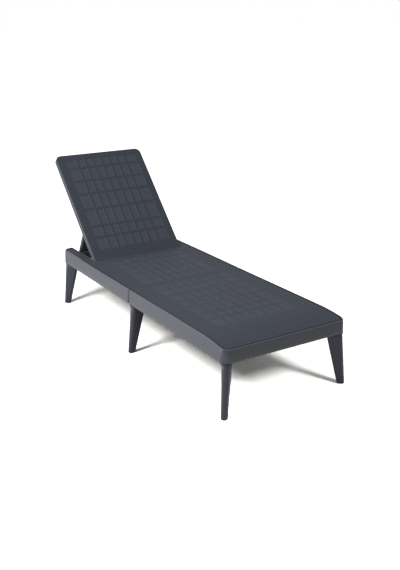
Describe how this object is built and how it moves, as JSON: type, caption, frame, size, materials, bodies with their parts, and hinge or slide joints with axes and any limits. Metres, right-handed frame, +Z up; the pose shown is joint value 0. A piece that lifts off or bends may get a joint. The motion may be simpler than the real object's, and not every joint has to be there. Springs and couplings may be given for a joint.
{
  "type": "sun lounger",
  "caption": "Flat sun lounger of moulded resin with a woven-look deck, apron, splayed tapered legs and a reclining backrest on a folding stay.",
  "frame": {"origin": "on the floor below the middle of the whole lounger as posed in the picture", "axes": "+X across the lounger to the right of a person lying on it with the feet towards -Y, +Y towards the head end, +Z up"},
  "size_m": [0.6452, 1.7026, 0.7534],
  "materials": {
    "deck_resin": "moulded polypropylene with a fine woven texture",
    "back_resin": "moulded polypropylene with a fine woven texture",
    "leg_resin": "smooth satin polypropylene",
    "stay_resin": "smooth satin polypropylene",
    "pin_resin": "smooth nylon",
    "screw_steel": "plain stainless"
  },
  "bodies": {
    "frame": {"foot_section": "deck_resin", "head_section": "deck_resin", "leg_front_left": "leg_resin", "leg_screw_front_left": "screw_steel", "leg_front_right": "leg_resin", "leg_screw_front_right": "screw_steel", "leg_middle_left": "leg_resin", "leg_screw_middle_left": "screw_steel", "leg_middle_right": "leg_resin", "leg_screw_middle_right": "screw_steel", "leg_rear_left": "leg_resin", "leg_screw_rear_left": "screw_steel", "leg_rear_right": "leg_resin", "leg_screw_rear_right": "screw_steel", "joining_screw_1": "screw_steel", "joining_screw_2": "screw_steel", "joining_screw_3": "screw_steel", "joining_screw_4": "screw_steel", "hinge_pin_left": "pin_resin", "hinge_pin_right": "pin_resin"},
    "backrest": {"backrest": "back_resin", "stay_pin_left": "pin_resin", "stay_pin_right": "pin_resin"},
    "stay": {"stay": "stay_resin"}
  },
  "joints": [
    {"name": "backrest_hinge", "type": "hinge", "parent": "frame", "child": "backrest", "pos_m": [0, 0.39932, 0.2845], "axis": [1, 0, 0], "range_deg": [-46.2, 12]},
    {"name": "stay_hinge", "type": "hinge", "parent": "backrest", "child": "stay", "pos_m": [0, 0.52429, 0.41266], "axis": [1, 0, 0], "range_deg": [-29, 108]}
  ],
  "couplings": [
    {"joint": "stay_hinge", "follows": "backrest_hinge", "ratio": -2.3236}
  ]
}
